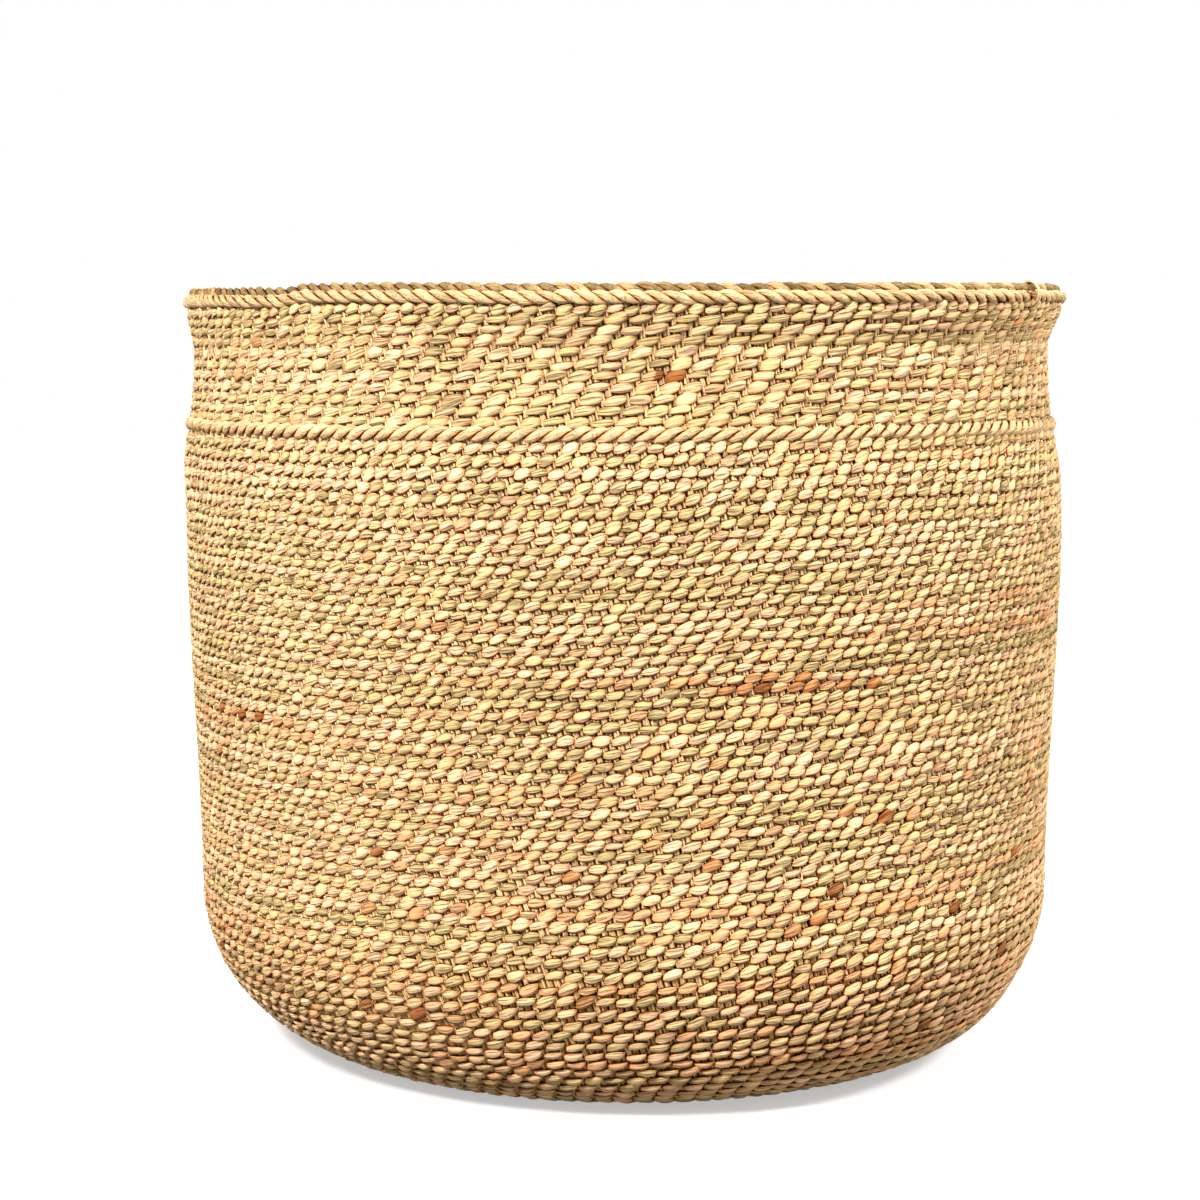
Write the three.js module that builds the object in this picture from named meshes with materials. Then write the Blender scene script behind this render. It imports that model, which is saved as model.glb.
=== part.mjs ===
// Twined grass basket with a flat base, a rounded heel, a raised rope below the mouth and a roped rim.
// Bundles of stakes run from the base up to the rim. The weft is twined round them in bands: each band
// lies on both faces of the stakes and crosses from face to face between every two bundles. Its rows show
// on the wall as ridges, each of which stands for several rows.
// Millimetres, +Z up, origin on the floor under the middle of the basket, front towards -Y.
import * as THREE from "three";

// Outside of the weaving
const HEIGHT = 305;
const FLOOR_DIAMETER = 228;
const HEEL_DIAMETER = 351;
const HEEL_HEIGHT = 64;
const BELLY_DIAMETER = 360;
const BELLY_HEIGHT = 212;
const NECK_DIAMETER = 349.4;
const NECK_BELOW_TOP = 23;
const MOUTH_DIAMETER = 357;

// Thickness of the wall, from face to face
const WEFT_THICKNESS = 2.1;
const STAKE_THICKNESS = 1.6;
const CLEARANCE = 0.3;

// Base: an open hub where two bundles cross, with more bundles let in between their arms
const HUB_DIAMETER = 24;
const CROSS_ARMS = 4;
const BUNDLES_BETWEEN_ARMS = 1;
const TWIST_WIDTH = 3;

// Ridges of the twined rows, with a groove on each side
const WALL_RIDGES_IN_BAND = 1;
const COLLAR_RIDGES = 3;
const ROW_GROOVE = 1.2;

// Raised rope round the neck and the collar of weaving above it
const COLLAR_HEIGHT = 40.4;
const WALE_ROPE = 4.6;
const WALE_PROUD = 1;

// Rim: one rope on the outside, one over the stake ends, and the strip that ties the end down
const RIM_ROPE = 4.2;
const RIM_PROUD = 1.4;
const CAP_ROPE = 3.8;
const TIE_ANGLE = 61;
const TIE_WIDTH = 6;
const TIE_THICKNESS = 1.6;
const TIE_TAIL = 4;

// Bands of weft in each stretch, and facets
const BASE_BANDS = 2;
const HEEL_BANDS = 2;
const HEEL_STEPS = 3;
const WALL_BANDS = 6;
const COLLAR_STEPS = 2;
const BUNDLE_FACETS = 4;
const CAP_FACETS = 40;
const CAP_SIDES = 6;

const { lerp, smoothstep, degToRad } = THREE.MathUtils;
const hubRadius = HUB_DIAMETER / 2;
const floorRadius = FLOOR_DIAMETER / 2;
const heelReach = HEEL_DIAMETER / 2 - floorRadius;
const bundles = CROSS_ARMS * (BUNDLES_BETWEEN_ARMS + 1);
const slotThickness = STAKE_THICKNESS + 2 * CLEARANCE;
const wallThickness = 2 * WEFT_THICKNESS + slotThickness;
const rimTop = HEIGHT - CAP_ROPE - CLEARANCE;
const rimBottom = rimTop - RIM_ROPE;
const waleTop = rimBottom - COLLAR_HEIGHT;
const waleBottom = waleTop - WALE_ROPE;

// Outside line of the basket, as (radius, height): flat base, quarter-round heel, swelling wall
const onFloor = (radius) => new THREE.Vector2(radius, 0);

function onHeel(turn) {
  return new THREE.Vector2(floorRadius + heelReach * Math.sin(turn), HEEL_HEIGHT * (1 - Math.cos(turn)));
}

function wallRadius(height) {
  const neckHeight = HEIGHT - NECK_BELOW_TOP;
  const swell = (BELLY_DIAMETER - HEEL_DIAMETER) * smoothstep(height, HEEL_HEIGHT, BELLY_HEIGHT);
  const draw = (NECK_DIAMETER - BELLY_DIAMETER) * smoothstep(height, BELLY_HEIGHT, neckHeight);
  const flare = (MOUTH_DIAMETER - NECK_DIAMETER) * smoothstep(height, neckHeight, rimBottom);
  return (HEEL_DIAMETER + swell + draw + flare) / 2;
}

const onWall = (height) => new THREE.Vector2(wallRadius(height), height);

// Unit normal into the basket of a stretch of the outside line
const inward = (from, to) => new THREE.Vector2(from.y - to.y, to.x - from.x).normalize();

// Each point of a line with its mitre: the step that thickens both neighbouring stretches by one millimetre
function mitred(points) {
  const last = points.length - 1;
  return points.map((point, i) => {
    const before = inward(points[Math.max(i - 1, 0)], points[Math.max(i, 1)]);
    const after = inward(points[Math.min(i, last - 1)], points[Math.min(i + 1, last)]);
    const mitre = before.clone().add(after).divideScalar(1 + before.dot(after));
    return { point, mitre };
  });
}

// Point of the basket at a depth below the outside line, at an angle from the front
function placed({ point, mitre }, depth, angleAt) {
  const radius = point.x + mitre.x * depth;
  const angle = angleAt(radius);
  return new THREE.Vector3(radius * Math.sin(angle), -radius * Math.cos(angle), point.y + mitre.y * depth);
}

// Half the angle that a bundle may fill at a radius, with a margin kept from the middle of the twist
const halfAngle = (radius, margin) => Math.PI / bundles - Math.asin(margin / radius);

// Angle of station k across a bundle, from 0 at one edge to BUNDLE_FACETS at the other
function stationAngle(bundle, k, margin) {
  const middle = (2 * Math.PI * bundle) / bundles;
  return (radius) => middle + halfAngle(radius, margin) * ((2 * k) / BUNDLE_FACETS - 1);
}

function facetedSolid(name, points, quads, material) {
  const geometry = new THREE.BufferGeometry();
  geometry.setFromPoints(points);
  geometry.setIndex(quads.flatMap(([a, b, c, d]) => [a, b, c, a, c, d]));
  geometry.computeVertexNormals();
  const mesh = new THREE.Mesh(geometry, material);
  mesh.name = name;
  return mesh;
}

// Bands of weft from hub to rim: the stretch of the outside line that each covers, counted in points, and
// the ridges on its outer face, with how far they stand proud and how deep the grooves are
const bands = [];
const outsideLine = [onFloor(hubRadius)];

function addBands(name, count, steps, from, to, onLine, { ridges = 0, proud = 0, groove = 0 } = {}) {
  for (let band = 1; band <= count; band++) {
    const first = outsideLine.length - 1;
    for (let step = 1; step <= steps; step++) {
      const share = (band - 1 + step / steps) / count;
      outsideLine.push(onLine(lerp(from, to, share)));
    }
    bands.push({ name: count > 1 ? `${name}_${band}` : name, first, steps, ridges, proud, groove });
  }
}

addBands("base_weft", BASE_BANDS, 1, hubRadius, floorRadius, onFloor);
addBands("heel_weft", HEEL_BANDS, HEEL_STEPS, 0, Math.PI / 2, onHeel);
const wallRows = { ridges: WALL_RIDGES_IN_BAND, groove: ROW_GROOVE };
const collarRows = { ridges: COLLAR_RIDGES, groove: ROW_GROOVE };
addBands("wall_weft", WALL_BANDS, 1, HEEL_HEIGHT, waleBottom, onWall, wallRows);
addBands("wale_rope", 1, 1, waleBottom, waleTop, onWall, { ridges: 1, proud: WALE_PROUD });
addBands("collar_weft", 1, COLLAR_STEPS, waleTop, rimBottom, onWall, collarRows);
addBands("rim_rope", 1, 1, rimBottom, rimTop, onWall, { ridges: 1, proud: RIM_PROUD });
const mitredLine = mitred(outsideLine);

// An end of a band, drawn back along its outside line by half the clearance to the next band
function drawnBack({ point, mitre }, towards) {
  const step = towards.point.clone().sub(point).setLength(CLEARANCE / 2);
  return { point: point.clone().add(step), mitre };
}

// Place on a band's line, at a share of its sections
function between(sections, share) {
  const last = sections.length - 1;
  const from = Math.min(Math.floor(share * last), last - 1);
  const [low, high] = [sections[from], sections[from + 1]];
  const step = share * last - from;
  return { point: low.point.clone().lerp(high.point, step), mitre: low.mitre.clone().lerp(high.mitre, step) };
}

// A band is a ring with one slot for each bundle. Each section has three levels at each station: the two walls
// of the slot and the inside. Between two bundles the twist joins outer and inner face. The outer face has
// rows of its own: a groove and a crown by turns where it is ridged, and otherwise the sections.
function weftBand({ name, first, steps, ridges, proud, groove }, material) {
  const line = mitredLine.slice(first, first + steps + 1);
  const ends = [drawnBack(line[0], line[1]), drawnBack(line[steps], line[steps - 1])];
  const sections = [ends[0], ...line.slice(1, steps), ends[1]];
  const outerRows = ridges > 0 ? 2 * ridges : steps;
  const outerDepth = (row) => (row % 2 === 1 ? -proud : groove);

  const acrossBundle = BUNDLE_FACETS + 1;
  const stations = bundles * acrossBundle;
  const angleOf = (s) => stationAngle(Math.floor(s / acrossBundle), s % acrossBundle, TWIST_WIDTH / 2);
  const points = [];
  for (let row = 0; row <= outerRows; row++) {
    const onLine = between(sections, row / outerRows);
    for (let s = 0; s < stations; s++) points.push(placed(onLine, outerDepth(row), angleOf(s)));
  }
  const depths = [WEFT_THICKNESS, WEFT_THICKNESS + slotThickness, wallThickness];
  for (const onLine of sections) {
    for (let s = 0; s < stations; s++) depths.forEach((depth) => points.push(placed(onLine, depth, angleOf(s))));
  }

  const [SLOT_OUTER, SLOT_INNER, INSIDE] = [0, 1, 2];
  const levels = INSIDE + 1;
  const outer = (row, s) => row * stations + (s % stations);
  const at = (j, s, level) => (outerRows + 1) * stations + (j * stations + (s % stations)) * levels + level;
  const quads = [];
  const face = (corners, turned) => quads.push(turned ? corners.reverse() : corners);
  const along = (j, s, level) =>
    [at(j, s, level), at(j, s + 1, level), at(j + 1, s + 1, level), at(j + 1, s, level)];
  const across = (j, s, level) =>
    [at(j, s, level), at(j, s, level + 1), at(j, s + 1, level + 1), at(j, s + 1, level)];
  const twist = (j, s) =>
    [at(j, s, SLOT_OUTER), at(j, s, SLOT_INNER), at(j + 1, s, SLOT_INNER), at(j + 1, s, SLOT_OUTER)];

  for (let s = 0; s < stations; s++) {
    const inTwist = s % acrossBundle === BUNDLE_FACETS;
    for (let row = 0; row < outerRows; row++) {
      face([outer(row, s), outer(row, s + 1), outer(row + 1, s + 1), outer(row + 1, s)], false);
    }
    for (let j = 0; j < steps; j++) {
      face(along(j, s, INSIDE), true);
      if (inTwist) {
        face(twist(j, s), true);
        face(twist(j, s + 1), false);
      } else {
        face(along(j, s, SLOT_OUTER), true);
        face(along(j, s, SLOT_INNER), false);
      }
    }
    for (const [j, row, turned] of [[0, 0, false], [steps, outerRows, true]]) {
      face([outer(row, s), at(j, s, SLOT_OUTER), at(j, s + 1, SLOT_OUTER), outer(row, s + 1)], turned);
      face(across(j, s, SLOT_INNER), turned);
      if (inTwist) face(across(j, s, SLOT_OUTER), turned);
    }
  }
  return facetedSolid(name, points, quads, material);
}

// The stakes follow the whole outside line under the weft
const stakeMargin = TWIST_WIDTH / 2 + CLEARANCE;
const stakeDepth = WEFT_THICKNESS + CLEARANCE;
const acrossStakes = Array.from({ length: BUNDLE_FACETS + 1 }, (_, k) => k);

// Section of a bundle: its outer edge from station to station, and back along its inner edge
function stakeSection(bundle, onLine, mirrored) {
  const order = mirrored ? acrossStakes.toReversed() : acrossStakes;
  const edge = (depth) => order.map((k) => placed(onLine, depth, stationAngle(bundle, k, stakeMargin)));
  return [...edge(stakeDepth), ...edge(stakeDepth + STAKE_THICKNESS).reverse()];
}

function loft(name, sections, material) {
  const around = sections[0].length;
  const at = (j, i) => j * around + (i % around);
  const quads = [];
  for (let j = 0; j < sections.length - 1; j++) {
    for (let i = 0; i < around; i++) {
      quads.push([at(j, i), at(j, i + 1), at(j + 1, i + 1), at(j + 1, i)]);
    }
  }
  for (let i = 0; i < BUNDLE_FACETS; i++) {
    const cap = (j) => [at(j, i), at(j, around - 1 - i), at(j, around - 2 - i), at(j, i + 1)];
    quads.push(cap(0), cap(sections.length - 1).reverse());
  }
  return facetedSolid(name, sections.flat(), quads, material);
}

// A crossing bundle runs from rim to rim over the hub, as wide there as where it leaves the weft.
// The second of the two is lifted over the first.
function crossStakes(name, bundle, lifted, material) {
  const opposite = bundle + bundles / 2;
  const down = mitredLine.toReversed().map((onLine) => stakeSection(opposite, onLine, true));
  const up = mitredLine.map((onLine) => stakeSection(bundle, onLine, false));
  if (!lifted) return loft(name, [...down, ...up], material);

  const angle = (2 * Math.PI * bundle) / bundles;
  const forward = new THREE.Vector3(Math.sin(angle), -Math.cos(angle), 0);
  const sideways = new THREE.Vector3(Math.cos(angle), Math.sin(angle), 0);
  const halfWidth = hubRadius * Math.sin(halfAngle(hubRadius, stakeMargin));
  const lift = STAKE_THICKNESS + CLEARANCE;
  const bridge = (reach) => {
    const edge = (height) => acrossStakes.map((k) => {
      const aside = halfWidth * ((2 * k) / BUNDLE_FACETS - 1);
      return new THREE.Vector3(0, 0, height).addScaledVector(forward, reach).addScaledVector(sideways, aside);
    });
    return [...edge(stakeDepth + lift), ...edge(stakeDepth + lift + STAKE_THICKNESS).reverse()];
  };
  const clearOfFirst = halfWidth + CLEARANCE;
  return loft(name, [...down, bridge(-clearOfFirst), bridge(clearOfFirst), ...up], material);
}

function sideStakes(name, bundle, material) {
  return loft(name, mitredLine.map((onLine) => stakeSection(bundle, onLine, false)), material);
}

// Rope over the ends of the stakes, as wide as the wall
function capRope(name, material) {
  const middle = wallRadius(rimTop) - wallThickness / 2;
  const section = Array.from({ length: CAP_SIDES + 1 }, (_, i) => {
    const turn = (2 * Math.PI * (i % CAP_SIDES)) / CAP_SIDES;
    const out = (wallThickness / 2) * Math.sin(turn);
    const up = (CAP_ROPE / 2) * Math.cos(turn);
    return new THREE.Vector2(middle + out, HEIGHT - CAP_ROPE / 2 - up);
  });
  const geometry = new THREE.LatheGeometry(section, CAP_FACETS);
  geometry.rotateX(Math.PI / 2);
  const mesh = new THREE.Mesh(geometry, material);
  mesh.name = name;
  return mesh;
}

// Radius of the faceted outside line at a height on the wall
function facetRadius(height) {
  const above = outsideLine.findIndex((point) => point.y >= height);
  const [low, high] = [outsideLine[above - 1], outsideLine[above]];
  return lerp(low.x, high.x, (height - low.y) / (high.y - low.y));
}

// Strip bound over the outside of the rim, from the collar below to the flank of the cap rope
function rimTie(name, material) {
  const ropeMiddle = (rimTop + rimBottom) / 2;
  const tailEnd = rimBottom - TIE_TAIL;
  const seat = [
    new THREE.Vector2(facetRadius(tailEnd), tailEnd),
    new THREE.Vector2(wallRadius(rimBottom), rimBottom),
    new THREE.Vector2(wallRadius(ropeMiddle) + RIM_PROUD, ropeMiddle),
    new THREE.Vector2(wallRadius(rimTop), HEIGHT - CAP_ROPE / 2),
  ];
  const offset = (distance) =>
    mitred(seat).map(({ point, mitre }) => point.clone().addScaledVector(mitre, -distance));
  const outline = new THREE.Shape([...offset(CLEARANCE), ...offset(CLEARANCE + TIE_THICKNESS).reverse()]);
  const geometry = new THREE.ExtrudeGeometry(outline, { depth: TIE_WIDTH, bevelEnabled: false });
  geometry.translate(0, 0, -TIE_WIDTH / 2);
  geometry.rotateX(Math.PI / 2);
  geometry.rotateZ(degToRad(TIE_ANGLE - 90));
  const mesh = new THREE.Mesh(geometry, material);
  mesh.name = name;
  return mesh;
}

const grass = (color, roughness) => new THREE.MeshStandardMaterial({ color, roughness, metalness: 0 });
const stakeGrass = grass(0xc9a566, 0.75);
const weftGrass = grass(0xdfc08a, 0.65);
const ropeGrass = grass(0xe8cf9c, 0.6);

const basket = new THREE.Group();
const armStep = bundles / CROSS_ARMS;
basket.add(crossStakes("cross_stakes_lower", 0, false, stakeGrass));
basket.add(crossStakes("cross_stakes_upper", armStep, true, stakeGrass));
for (let arm = 0; arm < CROSS_ARMS; arm++) {
  for (let side = 1; side < armStep; side++) {
    const bundle = arm * armStep + side;
    basket.add(sideStakes(`side_stakes_${arm * BUNDLES_BETWEEN_ARMS + side}`, bundle, stakeGrass));
  }
}
for (const band of bands) {
  basket.add(weftBand(band, band.proud > 0 ? ropeGrass : weftGrass));
}
basket.add(capRope("rim_cap_rope", ropeGrass));
basket.add(rimTie("rim_tie", ropeGrass));

export default basket;
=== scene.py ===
"""Twined grass basket: stakes, weft rows, raised rope, roped rim and tie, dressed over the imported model."""

import math

import bpy
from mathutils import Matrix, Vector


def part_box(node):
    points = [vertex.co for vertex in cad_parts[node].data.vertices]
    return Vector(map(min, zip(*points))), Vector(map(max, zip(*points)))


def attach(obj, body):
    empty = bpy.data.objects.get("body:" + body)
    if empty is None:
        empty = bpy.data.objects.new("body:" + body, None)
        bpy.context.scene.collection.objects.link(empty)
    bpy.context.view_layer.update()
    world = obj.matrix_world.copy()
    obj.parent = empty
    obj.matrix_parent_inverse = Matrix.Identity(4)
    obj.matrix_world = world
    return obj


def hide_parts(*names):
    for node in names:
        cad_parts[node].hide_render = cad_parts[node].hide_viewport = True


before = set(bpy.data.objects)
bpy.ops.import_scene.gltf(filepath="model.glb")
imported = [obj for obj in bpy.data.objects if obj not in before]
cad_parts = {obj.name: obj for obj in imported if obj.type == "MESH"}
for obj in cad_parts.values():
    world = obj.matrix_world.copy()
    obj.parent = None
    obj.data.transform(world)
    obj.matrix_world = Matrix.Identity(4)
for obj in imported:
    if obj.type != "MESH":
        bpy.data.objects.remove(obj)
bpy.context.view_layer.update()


# Stakes: whole dried grass stalks that stand side by side in the wall, from rim to rim across the base.
# The first ones cross at the middle of the base, and more are let in between them as the base grows.
# The weft holds them by its twist alone, and they show as small squares between its stitches.

# The form that the stakes are bent to: a flat base, a round heel, a slight belly, a neck and a flared mouth
FLOOR_RADIUS = 0.114
HEEL_RADIUS = 0.1755
HEEL_HEIGHT = 0.064
HEEL_ROUND = 0.068
BELLY_SWELL = 0.0045
BELLY_HEIGHT = 0.212
NECK_DRAW = 0.0053
NECK_HEIGHT = 0.282
SHOULDER = 0.0013
SHOULDER_HEIGHT = 0.239
SHOULDER_REACH = 0.013
MOUTH_FLARE = 0.0038
RIM_FOOT = 0.2967
RIM_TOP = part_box("cross_stakes_lower")[1][2]
LINE_STEPS = 57
LINE_STEP_UP = 0.002
LINE_STEPS_UP = 121


def smoothstep(value, low, high):
    """0 up to the low value, 1 from the high one on, and smooth between."""
    share = min(max((value - low) / (high - low), 0), 1)
    return share * share * (3 - 2 * share)


def wall_radius(height):
    """Radius of the outside of the wall at a height."""
    swell = BELLY_SWELL * smoothstep(height, HEEL_HEIGHT, BELLY_HEIGHT)
    draw = NECK_DRAW * smoothstep(height, BELLY_HEIGHT, NECK_HEIGHT)
    flare = MOUTH_FLARE * smoothstep(height, NECK_HEIGHT, RIM_FOOT)
    shoulder = SHOULDER * math.exp(-(((height - SHOULDER_HEIGHT) / SHOULDER_REACH) ** 2))
    return HEEL_RADIUS + swell - draw + flare + shoulder


def outside_line():
    """Points (radius, height) of the outside of the basket, from the middle of the base to above the rim."""
    points = [(FLOOR_RADIUS * i / LINE_STEPS, 0) for i in range(LINE_STEPS)]
    for i in range(90):
        turn = math.radians(i)
        reach = (HEEL_RADIUS - FLOOR_RADIUS) * math.sin(turn)
        points.append((FLOOR_RADIUS + reach, HEEL_ROUND * (1 - math.cos(turn))))
    heights = [HEEL_ROUND + LINE_STEP_UP * i for i in range(LINE_STEPS_UP)]
    return points + [(wall_radius(height), height) for height in heights]


profile_points = outside_line()
profile_curve = bpy.data.curves.new("outside_line", "CURVE")
profile_curve.dimensions = "3D"
profile_spline = profile_curve.splines.new("POLY")
profile_spline.points.add(len(profile_points) - 1)
for spline_point, (radius, height) in zip(profile_spline.points, profile_points):
    spline_point.co = (radius, 0, height, 1)
profile = bpy.data.objects.new("outside_line", profile_curve)
bpy.context.collection.objects.link(profile)


def length_at(height):
    """Length along the outside line up to a height on the heel or wall."""
    total = 0
    for (r0, z0), (r1, z1) in zip(profile_points, profile_points[1:]):
        if z1 > height >= z0 and z1 > 0:
            return total + math.hypot(r1 - r0, z1 - z0) * (height - z0) / (z1 - z0)
        total += math.hypot(r1 - r0, z1 - z0)
    return total


class Wire:
    """A socket of a node tree. Arithmetic on it adds Math nodes."""

    def __init__(self, tree, socket=None):
        self.tree = tree
        self.socket = socket

    def node(self, kind, settings=None, inputs=None, output=0):
        """Adds a node: its settings first, then the values or wires of its sockets."""
        node = self.tree.nodes.new(kind)
        for name, value in (settings or {}).items():
            if name == "stops":
                ramp = node.color_ramp.elements
                while len(ramp) < len(value):
                    ramp.new(1)
                for element, (place, colour) in zip(ramp, value):
                    element.position = place
                    element.color = (*colour, 1)
            else:
                setattr(node, name, value)
        for key, value in (inputs or {}).items():
            if isinstance(value, Wire):
                self.tree.links.new(value.socket, node.inputs[key])
            else:
                node.inputs[key].default_value = value
        return Wire(self.tree, node.outputs[output] if len(node.outputs) else None)

    def __getitem__(self, output):
        """Another output of the same node."""
        return Wire(self.tree, self.socket.node.outputs[output])

    def math(self, operation, *others):
        return self.node("ShaderNodeMath", {"operation": operation}, dict(enumerate((self, *others))))

    def __add__(self, other):
        return self.math("ADD", other)

    def __sub__(self, other):
        return self.math("SUBTRACT", other)

    def __rsub__(self, other):
        return self.node("ShaderNodeMath", {"operation": "SUBTRACT"}, {0: other, 1: self})

    def __mul__(self, other):
        return self.math("MULTIPLY", other)

    def __truediv__(self, other):
        return self.math("DIVIDE", other)

    def __rtruediv__(self, other):
        return self.node("ShaderNodeMath", {"operation": "DIVIDE"}, {0: other, 1: self})

    def __pow__(self, other):
        return self.math("POWER", other)

    def __rpow__(self, other):
        return self.node("ShaderNodeMath", {"operation": "POWER"}, {0: other, 1: self})

    __radd__ = __add__
    __rmul__ = __mul__

    def vector(self, x, y, z):
        return self.node("ShaderNodeCombineXYZ", None, {0: x, 1: y, 2: z})

    def step(self, value, start, end):
        """Smooth step from 0 at start to 1 at end."""
        return self.node(
            "ShaderNodeMapRange",
            {"interpolation_type": "SMOOTHSTEP"},
            {"Value": value, "From Min": start, "From Max": end},
        )

    def noise(self, place, scale, detail=0.0):
        """Smooth noise from 0 to 1 over a place."""
        return self.node("ShaderNodeTexNoise", None, {"Vector": place, "Scale": scale, "Detail": detail})

    def chance(self, *place):
        """Even chance from 0 to 1, the same for the same place."""
        return self.node("ShaderNodeTexWhiteNoise", None, {"Vector": self.vector(*place)})


def new_tree(name, **inputs):
    """A Geometry Nodes tree, with a wire to each of its named inputs."""
    tree = bpy.data.node_groups.new(name, "GeometryNodeTree")
    tree.interface.new_socket("Geometry", in_out="OUTPUT", socket_type="NodeSocketGeometry")
    for size, kind in inputs.items():
        tree.interface.new_socket(size, in_out="INPUT", socket_type="NodeSocket" + kind)
    given = tree.nodes.new("NodeGroupInput")
    return Wire(tree), {size: Wire(tree, given.outputs[size]) for size in inputs}


def strands_for(wire, count, rings, sides):
    """Strands as flat strips, each with its own number, to be wound into shape. Gives the strips, the
    number, the share of the way along and the turn round the strand."""
    points = wire.node("GeometryNodePoints", None, {"Count": count})
    index = wire.node("GeometryNodeInputIndex")
    numbered = wire.node(
        "GeometryNodeStoreNamedAttribute",
        {"data_type": "FLOAT", "domain": "POINT"},
        {"Geometry": points, "Name": "strand", "Value": index},
    )
    strip = wire.node("GeometryNodeMeshGrid", None, {"Vertices X": rings, "Vertices Y": sides + 1})
    copies = wire.node("GeometryNodeInstanceOnPoints", None, {"Points": numbered, "Instance": strip})
    strips = wire.node("GeometryNodeRealizeInstances", None, {"Geometry": copies})
    for name, axis in (("along", "X"), ("round", "Y")):
        share = wire.node("ShaderNodeSeparateXYZ", None, {0: wire.node("GeometryNodeInputPosition")}, axis)
        strips = wire.node(
            "GeometryNodeStoreNamedAttribute",
            {"data_type": "FLOAT", "domain": "POINT"},
            {"Geometry": strips, "Name": name, "Value": share + 0.5},
        )
    read = [
        wire.node("GeometryNodeInputNamedAttribute", {"data_type": "FLOAT"}, {"Name": name})
        for name in ("strand", "along", "round")
    ]
    return strips, read[0], read[1], read[2] * (-2 * math.pi)


# What is uneven in a basket made by hand: how far it goes, and the heights or angles where it begins or ends
NECK_TO_LEFT = 0.0014
NECK_LEAN_BEGINS = (0.215, 0.25)
NECK_LEAN_ENDS = (0.297, 0.283)
BASE_TO_RIGHT = 0.0025
BASE_SHIFT_ENDS = (0.035, 0.004)
RIM_RISE = 0.0007
RIM_SIDE_RISE = 0.003
RIM_RISE_BEGINS = (0.262, 0.296)
RIM_DIP = 0.0018
RIM_DIP_BEGINS = (-0.70, -0.80)
RIM_DIP_ENDS = (-3.1, -1.8)


def on_wall(wire, profile, length, depth, angle):
    """Place on the basket at a length along its outside line, a depth below it and an angle from the front.
    Worked by hand, the base lies a little to the right, the neck leans to the left, and the rim rises at the
    sides and dips at its joint."""
    line = wire.node("GeometryNodeObjectInfo", None, {"Object": profile}, "Geometry")
    at = wire.node(
        "GeometryNodeSampleCurve", {"mode": "LENGTH"}, {"Curves": line, "Length": length}, "Position"
    )
    point = wire.node("ShaderNodeSeparateXYZ", None, {0: at})
    way = wire.node("ShaderNodeSeparateXYZ", None, {0: at["Tangent"]})
    radius = point["X"] - way["Z"] * depth
    height = point["Z"] + way["X"] * depth
    x = radius * angle.math("SINE")
    x = x - NECK_TO_LEFT * wire.step(height, *NECK_LEAN_BEGINS) * wire.step(height, *NECK_LEAN_ENDS)
    x = x + BASE_TO_RIGHT * wire.step(height, *BASE_SHIFT_ENDS)
    turned = angle.math("WRAP", math.pi, -math.pi)
    dip = wire.step(turned, *RIM_DIP_BEGINS) * wire.step(turned, *RIM_DIP_ENDS)
    rise = RIM_RISE + RIM_SIDE_RISE * angle.math("SINE") ** 2 - RIM_DIP * dip
    y = radius * angle.math("COSINE") * -1
    return wire.vector(x, y, height + rise * wire.step(height, *RIM_RISE_BEGINS))


TOUCHING = 2e-6


def finished(wire, strips, place, material, stripes, marks):
    """Winds the strips into closed strands, lays their bake map out in stripes, stores the marks that the
    material reads, and ends the tree."""
    along, turn, strand = (
        wire.node("GeometryNodeInputNamedAttribute", {"data_type": "FLOAT"}, {"Name": name})
        for name in ("along", "round", "strand")
    )
    stripe = wire.node(
        "GeometryNodeFieldOnDomain", {"data_type": "FLOAT", "domain": "FACE"}, {0: along * stripes}
    ).math("FLOOR")
    count = wire.node(
        "GeometryNodeAttributeStatistic",
        {"data_type": "FLOAT"},
        {"Geometry": strips, "Attribute": strand},
        "Max",
    )
    across = (strand * stripes + stripe + 0.08 + turn * 0.84) / ((count + 1) * stripes)
    bake_map = wire.vector(0.01 + 0.98 * (along * stripes - stripe), across, 0.0)
    shaped = wire.node(
        "GeometryNodeStoreNamedAttribute",
        {"data_type": "FLOAT2", "domain": "CORNER"},
        {"Geometry": strips, "Name": "OFBake", "Value": bake_map},
    )
    for name, (kind, value) in marks.items():
        shaped = wire.node(
            "GeometryNodeStoreNamedAttribute",
            {"data_type": kind, "domain": "POINT"},
            {"Geometry": shaped, "Name": name, "Value": value},
        )
    shaped = wire.node("GeometryNodeSetPosition", None, {"Geometry": shaped, "Position": place})
    shaped = wire.node("GeometryNodeMergeByDistance", None, {"Geometry": shaped, "Distance": TOUCHING})
    for name in ("strand", "along", "round"):
        shaped = wire.node("GeometryNodeRemoveAttribute", None, {"Geometry": shaped, "Name": name})
    shaped = wire.node("GeometryNodeSetShadeSmooth", None, {"Geometry": shaped})
    shaped = wire.node("GeometryNodeRealizeInstances", None, {"Geometry": shaped})
    shaped = wire.node("GeometryNodeSetMaterial", None, {"Geometry": shaped, "Material": material})
    wire.node("NodeGroupOutput", None, {"Geometry": shaped})
    return wire.tree


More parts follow.
